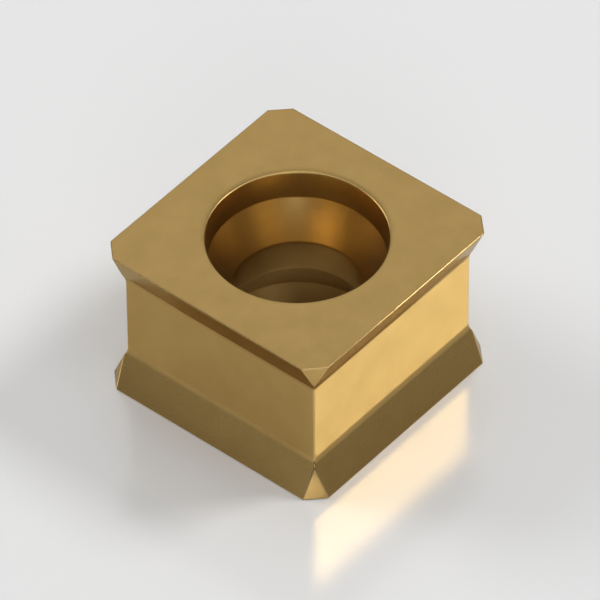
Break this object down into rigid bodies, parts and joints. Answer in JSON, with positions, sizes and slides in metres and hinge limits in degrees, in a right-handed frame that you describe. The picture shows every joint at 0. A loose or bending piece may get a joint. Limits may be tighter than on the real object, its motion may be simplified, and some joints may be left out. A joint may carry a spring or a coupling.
{
  "type": "double-sided square cutting insert",
  "caption": "Thick square carbide insert with cutting edges on both faces, a narrower waist, chamfered corners and a screw hole countersunk from both sides.",
  "frame": {"origin": "centre of the screw hole in the lower cutting face", "axes": "+Z along the screw hole, up through the upper cutting face; X and Y square to the sides"},
  "size_m": [0.0126, 0.0126, 0.0083],
  "materials": {
    "coated_carbide": "satin"
  },
  "bodies": {
    "root": {"insert": "coated_carbide"}
  },
  "joints": []
}
